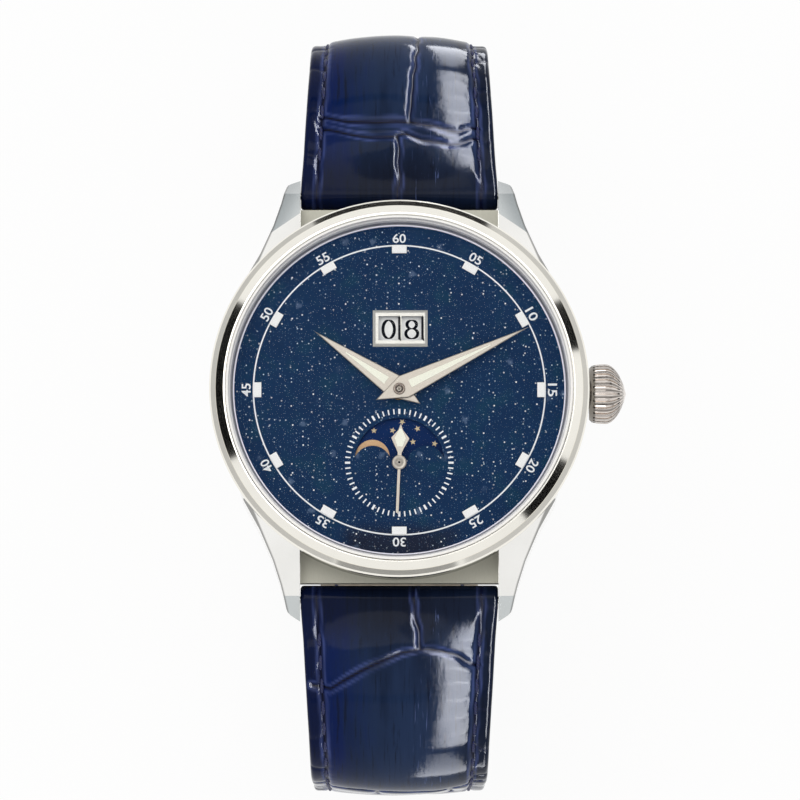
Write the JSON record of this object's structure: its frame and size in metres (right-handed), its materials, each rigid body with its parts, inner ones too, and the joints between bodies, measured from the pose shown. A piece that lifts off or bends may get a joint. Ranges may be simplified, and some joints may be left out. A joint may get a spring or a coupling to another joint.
{
  "type": "wristwatch",
  "caption": "Round steel wristwatch with a navy aventurine dial, big date, small seconds, a moon window and a padded leather strap that opens at its spring bars.",
  "frame": {"origin": "centre of the outer face of the case back", "axes": "+Z out of the dial, +Y to 12 o'clock along the strap, +X to the crown at 3 o'clock"},
  "size_m": [0.0461, 0.0854, 0.0618],
  "materials": {
    "polished_steel": "polished stainless steel",
    "brushed_steel": "brushed stainless steel",
    "sapphire": "clear sapphire with an anti-reflective coat",
    "seal_rubber": "black nitrile rubber",
    "seal_nylon": "pale nylon gasket",
    "flange_metal": "polished lavender-grey flange ring",
    "aventurine": "navy aventurine glass with sparkling flecks",
    "lume": "white luminous paint",
    "hand_steel": "warm satin steel with polished bevels",
    "movement_plate": "rhodium plate with circular graining",
    "bridge_plate": "rhodium plate with stripes",
    "gilt_brass": "gilt brass with fine graining",
    "movement_steel": "polished tool steel",
    "blued_steel": "heat-blued steel",
    "ruby": "synthetic ruby",
    "date_enamel": "silver-white date disc with black figures",
    "moon_enamel": "royal blue disc with gold moons and stars",
    "leather": "glossy navy leather with large square scales",
    "lining": "soft grey-beige lining leather"
  },
  "bodies": {
    "case": {"case_middle": "polished_steel", "bezel": "polished_steel", "crystal": "sapphire", "crystal_gasket": "seal_nylon", "flange_ring": "flange_metal", "case_back_ring": "brushed_steel", "case_back_window": "sapphire", "case_back_gasket": "seal_rubber", "case_back_screws": "brushed_steel", "crown_tube": "brushed_steel", "movement_holder": "brushed_steel", "case_clamps": "brushed_steel", "clamp_screws": "blued_steel", "spring_bar_12": "brushed_steel", "spring_bar_6": "brushed_steel", "dial": "aventurine", "hour_blocks": "lume", "date_frame": "brushed_steel", "main_plate": "movement_plate", "train_bridge": "bridge_plate", "barrel_bridge": "bridge_plate", "balance_cock": "bridge_plate", "pallet_bridge": "bridge_plate", "bridge_screws": "blued_steel", "jewels": "ruby", "rotor_bearing": "movement_steel", "hairspring": "blued_steel"},
    "rotor": {"rotor": "bridge_plate"},
    "centre": {"centre_wheel": "gilt_brass"},
    "third": {"third_wheel": "gilt_brass"},
    "seconds": {"fourth_wheel": "gilt_brass", "seconds_hand": "hand_steel"},
    "escape": {"escape_wheel": "gilt_brass"},
    "pallets": {"pallet_fork": "movement_steel"},
    "balance": {"balance_wheel": "gilt_brass"},
    "barrel": {"barrel": "gilt_brass", "mainspring": "movement_steel"},
    "barrel_core": {"barrel_arbor": "movement_steel"},
    "minute": {"cannon_pinion": "movement_steel", "minute_hand": "hand_steel"},
    "minute_transfer": {"minute_wheel": "gilt_brass"},
    "hour": {"hour_wheel": "gilt_brass", "hour_hand": "hand_steel"},
    "date_ones": {"date_ones_disc": "date_enamel"},
    "date_tens": {"date_tens_disc": "date_enamel"},
    "moon": {"moon_disc": "moon_enamel"},
    "crown_slide": {"crown_gasket": "seal_rubber"},
    "crown": {"crown": "polished_steel", "winding_stem": "movement_steel"},
    "clutch": {"sliding_pinion": "movement_steel"},
    "winding": {"winding_pinion": "movement_steel"},
    "lever": {"setting_lever": "movement_steel"},
    "strap_12": {"strap_12_leather": "leather", "strap_12_lining": "lining", "fixed_keeper": "leather"},
    "strap_6": {"strap_6_leather": "leather", "strap_6_lining": "lining"},
    "free_keeper": {"free_keeper": "leather"},
    "buckle": {"buckle_frame": "brushed_steel"},
    "tang": {"buckle_tang": "brushed_steel"}
  },
  "joints": [
    {"name": "minute_hand_turn", "type": "hinge", "parent": "case", "child": "minute", "pos_m": [0, 0, 0.008], "axis": [0, 0, -1], "continuous": true},
    {"name": "hour_hand_turn", "type": "hinge", "parent": "case", "child": "hour", "pos_m": [0, 0, 0.008], "axis": [0, 0, -1], "continuous": true},
    {"name": "minute_wheel_turn", "type": "hinge", "parent": "case", "child": "minute_transfer", "pos_m": [-0.00282, -0.00103, 0.0065], "axis": [0, 0, -1], "continuous": true},
    {"name": "seconds_hand_turn", "type": "hinge", "parent": "case", "child": "seconds", "pos_m": [0, -0.0081, 0.008], "axis": [0, 0, -1], "continuous": true},
    {"name": "third_wheel_turn", "type": "hinge", "parent": "case", "child": "third", "pos_m": [0.00217, -0.00445, 0.004], "axis": [0, 0, -1], "continuous": true},
    {"name": "centre_wheel_turn", "type": "hinge", "parent": "case", "child": "centre", "pos_m": [0, 0, 0.004], "axis": [0, 0, -1], "continuous": true},
    {"name": "escape_wheel_turn", "type": "hinge", "parent": "case", "child": "escape", "pos_m": [-0.00326, -0.00928, 0.004], "axis": [0, 0, -1], "continuous": true},
    {"name": "barrel_turn", "type": "hinge", "parent": "case", "child": "barrel", "pos_m": [0.00336, 0.00582, 0.004], "axis": [0, 0, -1], "continuous": true},
    {"name": "ratchet_wheel_turn", "type": "hinge", "parent": "case", "child": "barrel_core", "pos_m": [0.00336, 0.00582, 0.003], "axis": [0, 0, -1], "continuous": true},
    {"name": "pallet_fork_rock", "type": "hinge", "parent": "case", "child": "pallets", "pos_m": [-0.00549, -0.0074, 0.0045], "axis": [0, 0, 1], "range_deg": [-5, 5]},
    {"name": "balance_swing", "type": "hinge", "parent": "case", "child": "balance", "pos_m": [-0.00881, -0.00462, 0.004], "axis": [0, 0, 1], "range_deg": [-270, 270]},
    {"name": "rotor_turn", "type": "hinge", "parent": "case", "child": "rotor", "pos_m": [0, 0, 0.002], "axis": [0, 0, 1], "continuous": true},
    {"name": "date_ones_turn", "type": "hinge", "parent": "case", "child": "date_ones", "pos_m": [0.00622, 0.00685, 0.007], "axis": [0, 0, -1], "continuous": true},
    {"name": "date_tens_turn", "type": "hinge", "parent": "case", "child": "date_tens", "pos_m": [-0.00602, 0.00685, 0.007], "axis": [0, 0, -1], "continuous": true},
    {"name": "moon_disc_turn", "type": "hinge", "parent": "case", "child": "moon", "pos_m": [0, -0.0081, 0.007], "axis": [0, 0, -1], "continuous": true},
    {"name": "crown_pull", "type": "slide", "parent": "case", "child": "crown_slide", "axis": [1, 0, 0], "range_m": [0, 0.0016]},
    {"name": "crown_turn", "type": "hinge", "parent": "crown_slide", "child": "crown", "pos_m": [0.02, 0, 0.0042], "axis": [1, 0, 0], "continuous": true},
    {"name": "sliding_pinion_shift", "type": "slide", "parent": "crown", "child": "clutch", "axis": [1, 0, 0], "range_m": [-0.00224, 0]},
    {"name": "setting_lever_swing", "type": "hinge", "parent": "case", "child": "lever", "pos_m": [0.0126, -0.00377, 0.005], "axis": [0, 0, -1], "range_deg": [0, 28.96]},
    {"name": "winding_pinion_turn", "type": "hinge", "parent": "case", "child": "winding", "pos_m": [0.0105, 0, 0.0042], "axis": [1, 0, 0], "continuous": true},
    {"name": "strap_12_hinge", "type": "hinge", "parent": "case", "child": "strap_12", "pos_m": [0, 0.0226, 0.0012], "axis": [1, 0, 0], "range_deg": [0, 80]},
    {"name": "strap_6_hinge", "type": "hinge", "parent": "case", "child": "strap_6", "pos_m": [0, -0.0226, 0.0012], "axis": [-1, 0, 0], "range_deg": [0, 80]},
    {"name": "free_keeper_slide", "type": "hinge", "parent": "strap_12", "child": "free_keeper", "pos_m": [0, 0.01595, -0.02382], "axis": [1, 0, 0], "range_deg": [-5.5, 12.5]},
    {"name": "buckle_frame_hinge", "type": "hinge", "parent": "strap_12", "child": "buckle", "pos_m": [0, 0.01595, -0.04782], "axis": [1, 0, 0], "range_deg": [-60, 40]},
    {"name": "buckle_tang_hinge", "type": "hinge", "parent": "buckle", "child": "tang", "pos_m": [0, 0.01595, -0.04782], "axis": [1, 0, 0], "range_deg": [0, 75]}
  ],
  "couplings": [
    {"joint": "minute_wheel_turn", "follows": "minute_hand_turn", "ratio": -0.33333},
    {"joint": "hour_hand_turn", "follows": "minute_hand_turn", "ratio": 0.083333},
    {"joint": "third_wheel_turn", "follows": "seconds_hand_turn", "ratio": -0.13333},
    {"joint": "centre_wheel_turn", "follows": "seconds_hand_turn", "ratio": 0.016667},
    {"joint": "escape_wheel_turn", "follows": "seconds_hand_turn", "ratio": -10},
    {"joint": "barrel_turn", "follows": "seconds_hand_turn", "ratio": -0.002381},
    {"joint": "sliding_pinion_shift", "follows": "crown_pull", "ratio": -1.4},
    {"joint": "setting_lever_swing", "follows": "crown_pull", "rad_per_m": 315.85},
    {"joint": "winding_pinion_turn", "follows": "crown_turn", "ratio": 1}
  ]
}
